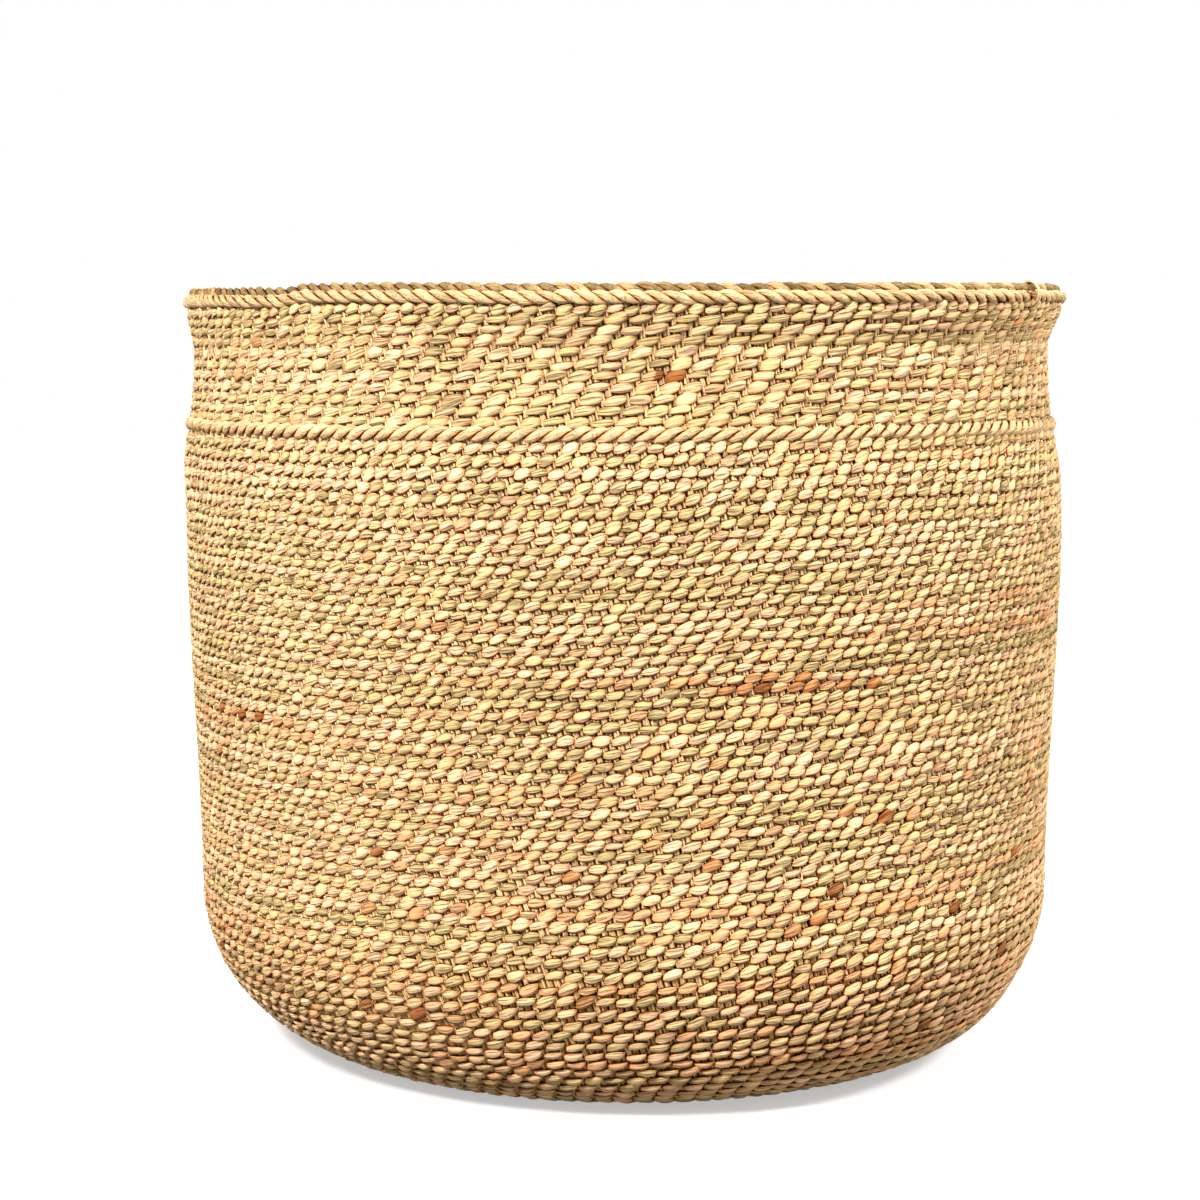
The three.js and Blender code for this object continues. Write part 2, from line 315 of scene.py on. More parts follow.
def made_by(tree, name, **sizes):
    """A plain mesh object, made by a tree from its named inputs."""
    piece = bpy.data.objects.new(name, bpy.data.meshes.new(name))
    bpy.context.collection.objects.link(piece)
    maker = piece.modifiers.new(tree.name, "NODES")
    maker.node_group = tree
    for item in tree.interface.items_tree:
        if item.in_out == "INPUT":
            maker[item.identifier] = sizes[item.name]
    scene_now = bpy.context.evaluated_depsgraph_get()
    mesh = bpy.data.meshes.new_from_object(
        piece.evaluated_get(scene_now), preserve_all_data_layers=True, depsgraph=scene_now
    )
    piece.modifiers.remove(maker)
    piece.data = mesh
    mesh.name = name
    return piece


# Painted shade: colours that the grass is multiplied by in its recesses and on its flanks
RECESS_SHADE_BROWN = (0.15, 0.032, 0.004, 1)
FLANK_SHADE_TAN = (0.90, 0.70, 0.46, 1)
CREASE_DEPTH = 0.0025
SHEEN = 0.02


def dried_grass(name, tones, roughness, creases):
    """Dried grass: a tone for each strand, with creases and fibres along it and a dull sheen. Painted shade
    makes it tan on its flanks and dark brown in the recesses, and darkens its creases."""
    material = bpy.data.materials.new(name)
    material.use_nodes = True
    material.node_tree.nodes.clear()
    wire = Wire(material.node_tree)
    fibre = wire.node("ShaderNodeAttribute", {"attribute_name": "fibre"}, None, "Vector")
    tone = wire.node("ShaderNodeAttribute", {"attribute_name": "tone"}, None, "Fac")
    stitch = wire.node("ShaderNodeAttribute", {"attribute_name": "stitch"}, None, "Fac")
    crown = wire.node("ShaderNodeAttribute", {"attribute_name": "crown"}, None, "Fac")
    lines = wire.noise(fibre, 2.3, 4.0)
    patches = wire.noise(fibre, 0.6, 2.0)
    colour = wire.node(
        "ShaderNodeValToRGB",
        {"stops": tones},
        {"Fac": tone + (patches - 0.5) * 0.2},
        "Color",
    )
    # Crease lines dent the bump, and painted shade darkens the colour along them
    crease = wire.node("ShaderNodeClamp", None, {"Value": (0.47 - lines) * 7})
    # Painted shade: dark brown where the crown mark is low, in the recesses
    recess_shade = wire.node("ShaderNodeClamp", None, {"Value": (0.39 - crown) * 8})
    colour = wire.node(
        "ShaderNodeMix",
        {"data_type": "RGBA", "blend_type": "MULTIPLY"},
        {"Factor": recess_shade, "A": colour, "B": RECESS_SHADE_BROWN},
        "Result",
    )
    # Painted shade: a softer tan over the flanks, away from the crown
    flank_shade = wire.node("ShaderNodeClamp", None, {"Value": (0.72 - crown) * 2.4})
    colour = wire.node(
        "ShaderNodeMix",
        {"data_type": "RGBA", "blend_type": "MULTIPLY"},
        {"Factor": flank_shade, "A": colour, "B": FLANK_SHADE_TAN},
        "Result",
    )
    # Fibre lines and stitches vary in brightness at random, and painted shade darkens the creases
    light = (0.72 + lines * 0.56 + (stitch - 0.5) * 0.3) * (1 - crease * creases)
    shaded = wire.node(
        "ShaderNodeVectorMath", {"operation": "MULTIPLY"}, {0: colour, 1: wire.vector(light, light, light)}
    )
    relief = lines - crease * 0.35
    bump = wire.node(
        "ShaderNodeBump",
        None,
        {"Strength": 1.0, "Distance": CREASE_DEPTH * creases, "Height": relief},
        "Normal",
    )
    surface = wire.node(
        "ShaderNodeBsdfPrincipled",
        None,
        {
            "Base Color": shaded,
            "Roughness": roughness + (lines - 0.5) * 0.3,
            "Specular IOR Level": SHEEN,
            "Normal": bump,
        },
        "BSDF",
    )
    wire.node("ShaderNodeOutputMaterial", None, {"Surface": surface})
    return material


stake_grass = dried_grass(
    "stake_grass",
    [
        (0.0, (0.62, 0.36, 0.11)),
        (0.3, (0.86, 0.55, 0.22)),
        (0.6, (0.97, 0.67, 0.33)),
        (1.0, (0.98, 0.70, 0.38)),
    ],
    roughness=0.62,
    creases=0.5,
)

STALKS_IN_BUNDLE = 96
BUNDLES = 8
STALK_HALF_WIDTH = 0.00088
STALK_HALF_THICKNESS = 0.0015
STALK_DEPTH = 0.00245
STALK_LEAN = 0.3
STALK_ABOVE_RIM = 0.0018
STALK_WIDER_BY = 0.25
STALK_WIDER_OVER = 0.008
STALK_RINGS = 46
STALK_SIDES = 4
TIP_SHARPNESS = 400
PALER_TONE = 0.5
PALER_OVER = (0.18, 0.27)
LEAN_FROM = 0.13
PAIRED_BY = 0.0004
STRAYS_BY = 0.0003
HUB_RADIUS = 0.004
WIDEST_RADIUS = 0.176
# Every second, fourth, eighth and sixteenth stalk starts nearer to the middle of the base than the others
STALK_START = 0.09
EARLIER_STARTS = ((2, 0.048), (4, 0.025), (8, 0.012), (16, 0.0007))


def stake_tree():
    """Stalks side by side in one arm or more, each from its start in the base up to the rim."""
    wire, size = new_tree(
        "stakes",
        Profile="Object",
        Stalks="Int",
        StalksInArm="Float",
        FirstAngle="Float",
        AngleStep="Float",
        ArmStep="Float",
        TopLength="Float",
        HalfWidth="Float",
        HalfThickness="Float",
        Depth="Float",
        Lean="Float",
        Seed="Float",
        Material="Material",
    )
    strips, stalk, along, turn = strands_for(wire, size["Stalks"], STALK_RINGS, STALK_SIDES)
    arm = (stalk / size["StalksInArm"] + 0.001).math("FLOOR")
    place = stalk - arm * size["StalksInArm"]
    start = STALK_START
    for every, radius in EARLIER_STARTS:
        let_in = place.math("MODULO", every).math("LESS_THAN", 0.5)
        start = start + let_in * (radius - start)

    # The first and last rings of a stalk are points that close its cut ends
    top = size["TopLength"]
    share = ((along * (STALK_RINGS - 1) - 1) / (STALK_RINGS - 3)).math("MAXIMUM", 0.0).math("MINIMUM", 1.0)
    length = start + share * (top - start)
    widest = size["HalfWidth"] * (1 + STALK_WIDER_BY * wire.step(length, top - STALK_WIDER_OVER, top))
    tip = (along * TIP_SHARPNESS).math("MINIMUM", 1.0) * ((1 - along) * TIP_SHARPNESS).math("MINIMUM", 1.0)
    chance = wire.chance(stalk, size["Seed"], 3.7)
    paired = (place.math("MODULO", 2.0) - 0.5) * -PAIRED_BY
    sideways = widest * tip * turn.math("COSINE") + paired + (chance - 0.5) * STRAYS_BY
    middle = size["FirstAngle"] + place * size["AngleStep"] + arm * size["ArmStep"]
    lean = size["Lean"] * (length - LEAN_FROM).math("MAXIMUM", 0.0)
    angle = middle + (sideways - lean) / length.math("MAXIMUM", HUB_RADIUS).math("MINIMUM", WIDEST_RADIUS)
    depth = size["Depth"] + size["HalfThickness"] * tip * turn.math("SINE") * (0.85 + 0.3 * chance)
    fibre = wire.vector(turn.math("COSINE"), turn.math("SINE"), length * 60 + stalk * 7.3)
    tone = 0.12 + chance * 0.36 + PALER_TONE * wire.step(length, *PALER_OVER)
    # The crown mark falls to the sides of a stalk, where the material paints shade between the stalks
    marks = {
        "fibre": ("FLOAT_VECTOR", fibre),
        "tone": ("FLOAT", tone),
        "stitch": ("FLOAT", chance),
        "crown": ("FLOAT", 0.19 + 0.81 * turn.math("SINE").math("ABSOLUTE")),
    }
    wound = on_wall(wire, size["Profile"], length, depth, angle)
    return finished(wire, strips, wound, size["Material"], 1.0, marks)


stakes = stake_tree()


def stake_bundle(name, bundle, arms):
    """The stalks of a bundle, with one arm or with two that lie opposite each other."""
    step = 2 * math.pi / (BUNDLES * STALKS_IN_BUNDLE)
    return made_by(
        stakes,
        name,
        Profile=profile,
        Stalks=STALKS_IN_BUNDLE * arms,
        StalksInArm=float(STALKS_IN_BUNDLE),
        FirstAngle=2 * math.pi * bundle / BUNDLES - step * (STALKS_IN_BUNDLE - 1) / 2,
        AngleStep=step,
        ArmStep=math.pi,
        TopLength=length_at(RIM_TOP + STALK_ABOVE_RIM),
        HalfWidth=STALK_HALF_WIDTH,
        HalfThickness=STALK_HALF_THICKNESS,
        Depth=STALK_DEPTH,
        Lean=STALK_LEAN,
        Seed=float(bundle),
        Material=stake_grass,
    )


def belongs(piece, node):
    """Fixes a piece to the basket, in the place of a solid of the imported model."""
    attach(piece, "root")
    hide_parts(node)


for name, bundle in (("cross_stakes_lower", 0), ("cross_stakes_upper", 2)):
    belongs(stake_bundle(f"{name}_stalks", bundle, 2), name)

for number, bundle in enumerate((1, 3, 5, 7), 1):
    belongs(stake_bundle(f"side_stakes_{number}_stalks", bundle, 1), f"side_stakes_{number}")


# Base weft: two grass strands twined round the stakes in a spiral from the middle of the base outwards.
# The strands cross between every few stakes, and each row is held by the one before it.
WEFT_DEPTH = 0.0032
WEFT_SWING = 0.0019
WEFT_HALF_THICKNESS = 0.0012
STITCH_SLANT = 0.0006
RINGS_PER_STITCH = 6
STRAND_SIDES = 5
OUTSIDE_SHARE = 0.545
STITCH_SKEW = 0.18
STITCH_STRAY = 0.0013
ROW_DRIFT = 0.004
ROW_WAVER = 0.0012
TURN_DRIFT = 0.04
DRIFT_SCALE = 11.0
WAVER_SCALE = 60.0
MEAN_RADIUS = 0.175
FIRST_ROW_RADIUS = 0.01
# Below the neck the rows wander more, and they are drawn straight over these heights
LOOSE_UP_TO = 0.23
STRAIGHT_FROM = 0.249
# The step of the spiral, where one row ends and the next begins
JOG_ANGLE = 0.06
JOG_RISE = 0.0017
JOG_TURN = 0.035
JOG_BEGINS = (0.24, 0.28)
# Stitches before a strand ends, before both strands change together, and before thick and thin change places
STITCHES_IN_STRAND = 37
STITCHES_OF_BOTH = 31
STITCHES_AS_PLUMP = 29
# Height, angles from and to, and tone of the runs of browner grass that the maker worked in
BROWN_RUNS = [
    (0.077, 0, 15, 0.86),
    (0.082, 16, 45, 0.90),
    (0.104, -26, -10, 0.86),
    (0.146, -61, -43, 0.93),
    (0.1645, 10, 31, 0.93),
    (0.169, -21, 4, 0.85),
    (0.169, 4, 36, 0.90),
    (0.1815, 30, 72, 0.88),
    (0.187, -30, -14, 0.85),
    (0.191, 22, 60, 0.88),
    (0.2465, 20, 55, 0.86),
    (0.2735, 4.8, 7.0, 1.2),
]
RUN_HALF_HEIGHT = 0.0022
RUN_FADES_OVER = 2

weft_grass = dried_grass(
    "weft_grass",
    [
        (0.0, (0.55, 0.42, 0.19)),
        (0.18, (0.78, 0.56, 0.27)),
        (0.42, (0.98, 0.655, 0.375)),
        (0.58, (0.96, 0.585, 0.345)),
        (0.72, (0.64, 0.48, 0.22)),
        (0.84, (0.93, 0.52, 0.27)),
        (0.94, (0.78, 0.41, 0.18)),
        (1.0, (0.33, 0.115, 0.035)),
    ],
    roughness=0.58,
    creases=0.44,
)


def weft_tree():
    """Two strands that wind up the wall together, each outside the stakes for a stitch and then inside."""
    wire, size = new_tree(
        "twined_weft",
        Profile="Object",
        Rows="Float",
        Stitches="Float",
        MoreStitches="Float",
        StartLength="Float",
        RowPitch="Float",
        HalfWidth="Float",
        HalfThickness="Float",
        Swing="Float",
        Slant="Float",
        Depth="Float",
        FirstTone="Float",
        Blush="Float",
        Seed="Float",
        Material="Material",
    )
    rows, first, more = size["Rows"], size["Stitches"], size["MoreStitches"]
    last_stitch = rows * (first + more * rows * 0.5)
    rings = (last_stitch * RINGS_PER_STITCH).math("ROUND") + 1
    strips, strand, along, turn = strands_for(wire, 2, rings, STRAND_SIDES)

    # Stitches so far, rows so far, and the place on the wall before any irregularity
    stitch = along * last_stitch
    row = 2 * stitch / (first + (first * first + 2 * more * stitch).math("SQRT"))
    angle = row * (2 * math.pi) - math.pi
    length = size["StartLength"] + row * size["RowPitch"]
    level = length
    turned = angle.math("WRAP", math.pi, -math.pi)
    spot = wire.vector(MEAN_RADIUS * angle.math("SINE"), -MEAN_RADIUS * angle.math("COSINE"), length)
    drift = wire.noise(spot, DRIFT_SCALE, 1.0)
    waver = wire.noise(spot, WAVER_SCALE, 1.0)
    pass_over = (stitch + strand) * 0.5
    behind = pass_over.math("FRACT").math("GREATER_THAN", OUTSIDE_SHARE)
    number = pass_over.math("FLOOR") * 2 + behind
    pass_length = OUTSIDE_SHARE + (1 - 2 * OUTSIDE_SHARE) * behind
    onward = (pass_over.math("FRACT") - OUTSIDE_SHARE * behind) / pass_length
    chance = wire.chance(number, strand, size["Seed"])
    shares = wire.node("ShaderNodeSeparateXYZ", None, {0: chance["Color"]})

    # Each strand passes over the outside for a stitch and behind the stakes for the next, rising as it goes.
    # A pass starts narrow, tucked under the end of the one before, swells, and ends rounded.
    side = 1 - 2 * behind
    fullness = ((onward ** 1.3) * math.pi).math("SINE").math("MAXIMUM", 0.0) ** 0.3
    out = size["Swing"] * (side * fullness * (0.82 + 0.14 * shares["Y"]) + 0.2)
    rise = size["Slant"] * (0.5 + shares["X"]) * (2 * onward - 1) * side
    rise = rise + (shares["Z"] - 0.5) * STITCH_STRAY * fullness
    end = (stitch * 4).math("MINIMUM", 1.0) * ((last_stitch - stitch) * 4).math("MINIMUM", 1.0)
    plump = wire.chance((stitch / STITCHES_AS_PLUMP).math("FLOOR"), size["Seed"], 5.1) - 0.5
    plump = 1.1 + plump * 0.4 * (1 - 2 * strand)
    taper = 0.45 + 0.63 * (onward * math.pi).math("SINE").math("MAXIMUM", 0.0) ** 0.6
    around = turn + math.pi * 0.3
    edge = wire.vector(stitch * 1.6, around.math("COSINE"), strand * 9 + size["Seed"])
    ragged = wire.noise(edge, 1.0) - 0.5
    half_width = size["HalfWidth"] * plump * taper * (0.765 + 0.36 * shares["X"] + 0.6 * ragged) * end
    half_thickness = size["HalfThickness"] * (0.75 + 0.25 * fullness + 0.5 * ragged) * end
    shown = around.math("SINE") * side
    across = half_width * around.math("COSINE") * (1 - 0.1 * shown)

    # The rows wander, more so below the neck, and step where the spiral comes round
    loose = 1 - 0.85 * wire.step(length, length_at(LOOSE_UP_TO), length_at(STRAIGHT_FROM))
    length = length + rise + across + (drift - 0.5) * ROW_DRIFT * loose + (waver - 0.5) * ROW_WAVER
    since_jog = ((angle - JOG_ANGLE) / (2 * math.pi)).math("FRACT")
    jog = wire.step(since_jog, 0.0, JOG_TURN) - since_jog - 0.5
    length = length + jog * JOG_RISE * loose * wire.step(length, *JOG_BEGINS)
    depth = size["Depth"] - out - half_thickness * side * (0.55 * shown + 0.45)
    turn_drift = wire.node("ShaderNodeSeparateXYZ", None, {0: drift["Color"]}, "Y") - 0.5
    angle = angle + turn_drift * TURN_DRIFT
    radius = length.math("MAXIMUM", FIRST_ROW_RADIUS).math("MINIMUM", WIDEST_RADIUS)
    angle = angle + STITCH_SKEW * across / radius

    # Each strand lasts for some stitches. Now and then both are alike, and single stitches are odd ones.
    run = (stitch / STITCHES_IN_STRAND + strand * 0.37).math("FLOOR")
    strand_tone = wire.chance(run, strand, size["Seed"] + 11.3)
    both = (stitch / STITCHES_OF_BOTH).math("FLOOR")
    same = wire.chance(both, size["Seed"], 7.7).math("GREATER_THAN", 0.55)
    run_tone = strand_tone + same * (wire.chance(both, size["Seed"], 2.9) - strand_tone)
    odd = shares["Z"].math("GREATER_THAN", 0.8)
    tone = (run_tone * 0.87 + odd * (shares["X"] - run_tone * 0.87)) * size["Blush"]
    tone = size["FirstTone"] + (1 - size["FirstTone"]) * tone
    for height, start, stop, brown in BROWN_RUNS:
        near = (level - length_at(height)).math("ABSOLUTE").math("LESS_THAN", RUN_HALF_HEIGHT)
        near = near * wire.step(turned, math.radians(start - RUN_FADES_OVER), math.radians(start))
        near = near * wire.step(turned, math.radians(stop + RUN_FADES_OVER), math.radians(stop))
        near = near * shares["X"].math("GREATER_THAN", 0.25)
        tone = tone + near * (brown + (shares["Y"] - 0.5) * 0.16 - tone)

    # Fibres twist along the strand, and the crown of a stitch is where it stands out most. Away from the
    # crown, on its sides and where it tucks under, the material paints shade.
    twisted = around + 0.25 * stitch
    fibre_length = stitch * 0.3 + number * 2.1 + strand * 19.1 + size["Seed"]
    fibre = wire.vector(twisted.math("COSINE"), twisted.math("SINE"), fibre_length)
    crown = (shown * 0.5 + 0.5).math("MAXIMUM", 0.0) ** 1.8 * fullness ** 1.2
    marks = {
        "fibre": ("FLOAT_VECTOR", fibre),
        "tone": ("FLOAT", tone),
        "stitch": ("FLOAT", shares["Y"]),
        "crown": ("FLOAT", crown),
    }
    wound = on_wall(wire, size["Profile"], length, depth, angle)
    return finished(wire, strips, wound, size["Material"], (rows * 3).math("ROUND"), marks)


twining = weft_tree()


def weft(
    name, start, end, rows, stitches, stitches_at_end, half_width, seed,
    slant=STITCH_SLANT, blush=1.0, half_thickness=WEFT_HALF_THICKNESS, first_tone=0.0,
):
    """Rows of twining from one length along the outside line to another."""
    return made_by(
        twining,
        name,
        Profile=profile,
        Rows=float(rows),
        Stitches=float(stitches),
        MoreStitches=(stitches_at_end - stitches) / rows,
        StartLength=start,
        RowPitch=(end - start) / rows,
        HalfWidth=half_width,
        HalfThickness=half_thickness,
        Swing=WEFT_SWING,
        Slant=slant,
        Depth=WEFT_DEPTH,
        FirstTone=first_tone,
        Blush=blush,
        Seed=seed,
        Material=weft_grass,
    )


BASE_START = 0.0012
BASE_MIDDLE = 0.063
BASE_HALF_WIDTH = 0.0023
for name, start, end, rows, stitches, stitches_at_end, seed in (
    ("base_weft_1", BASE_START, BASE_MIDDLE, 12, 4.5, 66.5, 1.0),
    ("base_weft_2", BASE_MIDDLE, FLOOR_RADIUS, 10, 66.5, 105.5, 2.0),
):
    piece = weft(f"{name}_rows", start, end, rows, stitches, stitches_at_end, BASE_HALF_WIDTH, seed)
    belongs(piece, name)


# Heel weft: the same two grass strands, twined on where the base turns up into the wall.
# Here they are thicker than in the base, so the stitches are plumper, and they lie steeper.
HEEL_HALF_THICKNESS = 0.0015
HEEL_SLANT = 0.0009
heel_middle = length_at(HEEL_HEIGHT * (1 - math.cos(math.pi / 4)))
heel_top = length_at(HEEL_HEIGHT)
for name, start, end, rows, stitches, stitches_at_end, half_width, seed, first_tone in (
    ("heel_weft_1", FLOOR_RADIUS, heel_middle, 8, 105.5, 128.5, 0.0025, 3.0, 0.0),
    ("heel_weft_2", heel_middle, heel_top, 10, 128.5, 156.5, 0.0021, 4.0, 0.12),
):
    piece = weft(
        f"{name}_rows", start, end, rows, stitches, stitches_at_end, half_width, seed,
        slant=HEEL_SLANT, half_thickness=HEEL_HALF_THICKNESS, first_tone=first_tone,
    )
    belongs(piece, name)


# Wall weft: the same twining up the wall, in finer strands with shorter and shorter stitches.
# The rows lie on each other up to the raised rope, and the stakes show between them.
WALE_FOOT = 0.2517
WALL_ROW_FILL = 0.49
WALL_FIRST_SEED = 5.0
# Rows, stitches in a row, and how far the tones go towards pink and brown
WALL_BANDS = [
    (7, 160.55, 1.0),
    (8, 166.55, 1.0),
    (7, 170.55, 0.97),
    (8, 174.55, 0.9),
    (8, 180.55, 0.86),
    (7, 190.55, 0.9),
]
band_height = (WALE_FOOT - HEEL_HEIGHT) / len(WALL_BANDS)
for band, (rows, stitches, blush) in enumerate(WALL_BANDS):
    start = length_at(HEEL_HEIGHT + band_height * band)
    end = length_at(HEEL_HEIGHT + band_height * band + band_height)
    half_width = WALL_ROW_FILL * band_height / rows
    name = f"wall_weft_{band + 1}"
    piece = weft(
        f"{name}_rows", start, end, rows, stitches, stitches, half_width, WALL_FIRST_SEED + band, blush=blush
    )
    belongs(piece, name)


# Raised rope: one row of three pale grass strands, laid round each other as they are twined.
# It goes once round the neck and stands a little proud of the rows below and above it.
WALE_TOP = 0.2563
WALE_TURNS = 57
WALE_DEPTH = 0.0016
WALE_LAY_RADIUS = 0.0014
WALE_STRAND_RADIUS = 0.0020
WALE_TONES = (0.5, 0.88)
WALE_HURRY = 1.5
STRANDS_IN_ROPE = 3
RINGS_PER_TURN = 9
ROPE_SIDES = 7
ROPE_SWAY = 0.0014
ROPE_TUCK = 0.003
LEFT_LAID = 1.0
RIGHT_LAID = -1.0
TIE_ANGLE = math.radians(61)
TUCK_BEGINS = (TIE_ANGLE - 0.05, TIE_ANGLE - 0.03)
TUCK_ENDS = (TIE_ANGLE + 0.004, TIE_ANGLE - 0.012)

rope_grass = dried_grass(
    "rope_grass",
    [
        (0.0, (0.22, 0.14, 0.055)),
        (0.25, (0.44, 0.295, 0.135)),
        (0.45, (0.66, 0.46, 0.235)),
        (0.8, (0.75, 0.53, 0.29)),
        (1.0, (0.73, 0.465, 0.25)),
    ],
    roughness=0.55,
    creases=0.28,
)


def rope_tree():
    """Strands laid round each other into a rope that goes once round the basket."""
    wire, size = new_tree(
        "laid_rope",
        Profile="Object",
        Strands="Int",
        Turns="Int",
        Hand="Float",
        Length="Float",
        Depth="Float",
        LayRadius="Float",
        StrandRadius="Float",
        DarkTone="Float",
        PaleTone="Float",
        Joint="Float",
        Hurry="Float",
        Seed="Float",
        Material="Material",
    )
    rings = size["Turns"] * RINGS_PER_TURN + 1
    strips, strand, along, turn = strands_for(wire, size["Strands"], rings, ROPE_SIDES)
    angle = along * (2 * math.pi) - math.pi
    spot = wire.vector(MEAN_RADIUS * angle.math("SINE"), -MEAN_RADIUS * angle.math("COSINE"), size["Seed"])
    sway = (wire.noise(spot, 40.0, 2.0) - 0.5) * ROPE_SWAY

    # The lay of the strands runs faster and slower by turns, as it does by hand
    hurry = wire.noise(spot, 15.0, 1.0) - 0.5
    lay = size["Hand"] * size["Turns"] * along * (2 * math.pi) + strand / size["Strands"] * (2 * math.pi)
    lay = lay + hurry * size["Hurry"]
    number = (lay / (2 * math.pi) - 0.25).math("FLOOR").math("FLOORED_MODULO", size["Turns"])
    chance = wire.chance(number, strand, size["Seed"])

    # At its joint the rope tucks in beside the tie, and there its strands are painted dark brown as shade in
    # the hollow
    tucked = size["Joint"] * wire.step(angle, *TUCK_BEGINS) * wire.step(angle, *TUCK_ENDS)
    thick = size["StrandRadius"] * (0.85 + 0.3 * chance) * (0.70 + 0.32 * lay.math("SINE"))
    thick = thick * (1 - 0.3 * tucked)
    length = size["Length"] + size["LayRadius"] * lay.math("COSINE") + thick * turn.math("COSINE") + sway
    depth = size["Depth"] - size["LayRadius"] * lay.math("SINE") - 0.85 * thick * turn.math("SINE")
    depth = depth + ROPE_TUCK * tucked

    fibre_length = along * 60 + strand * 23.0 + number * 1.7 + size["Seed"]
    fibre = wire.vector(turn.math("COSINE"), turn.math("SINE"), fibre_length)
    run_tone = wire.chance((along * 9 + strand * 0.4).math("FLOOR"), strand, size["Seed"])
    tone = size["DarkTone"] + (size["PaleTone"] - size["DarkTone"]) * run_tone + (chance - 0.5) * 0.14
    # The crown mark falls where a strand turns in under the others and in the tuck, where the material paints
    # shade
    crown = ((lay - turn).math("COSINE") * 0.6 + 0.31) * (1 - 0.7 * tucked)
    marks = {
        "fibre": ("FLOAT_VECTOR", fibre),
        "tone": ("FLOAT", tone * (1 - tucked)),
        "stitch": ("FLOAT", chance),
        "crown": ("FLOAT", crown),
    }
    wound = on_wall(wire, size["Profile"], length, depth, angle)
    return finished(wire, strips, wound, size["Material"], 4.0, marks)


rope_lay = rope_tree()


def rope(name, height, depth, hand, turns, lay_radius, strand_radius, tones, hurry, seed, joint=0.0):
    """A rope at a height, its strands in tones between a dark and a pale one."""
    return made_by(
        rope_lay,
        name,
        Profile=profile,
        Strands=STRANDS_IN_ROPE,
        Turns=turns,
        Hand=hand,
        Length=length_at(height),
        Depth=depth,
        LayRadius=lay_radius,
        StrandRadius=strand_radius,
        DarkTone=tones[0],
        PaleTone=tones[1],
        Joint=joint,
        Hurry=hurry,
        Seed=seed,
        Material=rope_grass,
    )


wale = rope(
    "wale_rope_strands", (WALE_FOOT + WALE_TOP) / 2, WALE_DEPTH, RIGHT_LAID, WALE_TURNS,
    WALE_LAY_RADIUS, WALE_STRAND_RADIUS, WALE_TONES, WALE_HURRY, seed=21.0,
)
belongs(wale, "wale_rope")


# Collar: the same twining above the raised rope, in ten rows of longer stitches over more stakes each.
# One row of short stitches closes it under the rim, and the stake ends stand up behind that row.
COLLAR_ROWS = 10
COLLAR_STITCHES = 132.73
COLLAR_HALF_WIDTH = 0.0020
EDGE_STITCHES = 190.5
EDGE_HALF_WIDTH = 0.0021
EDGE_SLANT = 0.0005
EDGE_BELOW_RIM = 0.0018
EDGE_INTO_RIM = 0.0016
collar_foot = length_at(WALE_TOP)
edge_foot = length_at(RIM_FOOT - EDGE_BELOW_RIM)
edge_top = length_at(RIM_FOOT + EDGE_INTO_RIM)
collar_rows = weft(
    "collar_weft_rows", collar_foot, edge_foot, COLLAR_ROWS, COLLAR_STITCHES, COLLAR_STITCHES,
    COLLAR_HALF_WIDTH, seed=12.0, blush=0.95,
)
belongs(collar_rows, "collar_weft")
collar_edge = weft(
    "collar_edge_row", edge_foot, edge_top, 1, EDGE_STITCHES, EDGE_STITCHES,
    EDGE_HALF_WIDTH, seed=13.0, slant=EDGE_SLANT, blush=0.88,
)
belongs(collar_edge, "collar_weft")


# Rim: two ropes of three grass strands, laid the other way from the raised rope.
# A pale one runs along the outside of the edge and ends at the tie. A brown one covers the stake ends, and
# its darker tones are partly painted shade.
RIM_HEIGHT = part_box("rim_cap_rope")[1][2]
RIM_TURNS = 57
RIM_CAP_TURNS = 62
RIM_LAY_RADIUS = 0.00115
RIM_STRAND_RADIUS = 0.0018
RIM_ROPE_DEPTH = 0.0010
RIM_CAP_DEPTH = 0.0034
RIM_ROPE_LIFT = 0.0018
CAP_SETTLES = 0.0018
RIM_HURRY = 5.0
RIM_TONES = (0.38, 1.0)
# Partly painted shade: the cap rope's strands take these darker tones
RIM_CAP_TONES = (0.0, 0.34)
rim_rope_height = (RIM_FOOT + RIM_TOP) / 2 + RIM_ROPE_LIFT
rim_rope = rope(
    "rim_rope_strands", rim_rope_height, RIM_ROPE_DEPTH, LEFT_LAID, RIM_TURNS,
    RIM_LAY_RADIUS, RIM_STRAND_RADIUS, RIM_TONES, RIM_HURRY, seed=31.0, joint=1.0,
)
belongs(rim_rope, "rim_rope")
rim_cap = rope(
    "rim_cap_strands", RIM_HEIGHT - CAP_SETTLES, RIM_CAP_DEPTH, LEFT_LAID, RIM_CAP_TURNS,
    RIM_LAY_RADIUS, RIM_STRAND_RADIUS, RIM_CAP_TONES, RIM_HURRY, seed=41.0,
)
belongs(rim_cap, "rim_cap_rope")


# Tie: a flat strip of pale grass that holds the end of the outer rim rope down.
# It comes up from inside, goes over the rope and tucks in under it, and its left edge has lifted.
TIE_HALF_WIDTH = 0.0029
TIE_HALF_THICKNESS = 0.0005
TIE_LIFT = 0.0009
TIE_CROWN = 0.0004
TIE_SLIP = 0.0014
TIE_OFF_ROPE = 0.0008
TIE_FROM = 128
TIE_TO = -104
TIE_SIDES = 12
TIE_STEPS = 40
TIE_MARKS = (("tone", 0.75), ("stitch", 0.7), ("crown", 0.9))


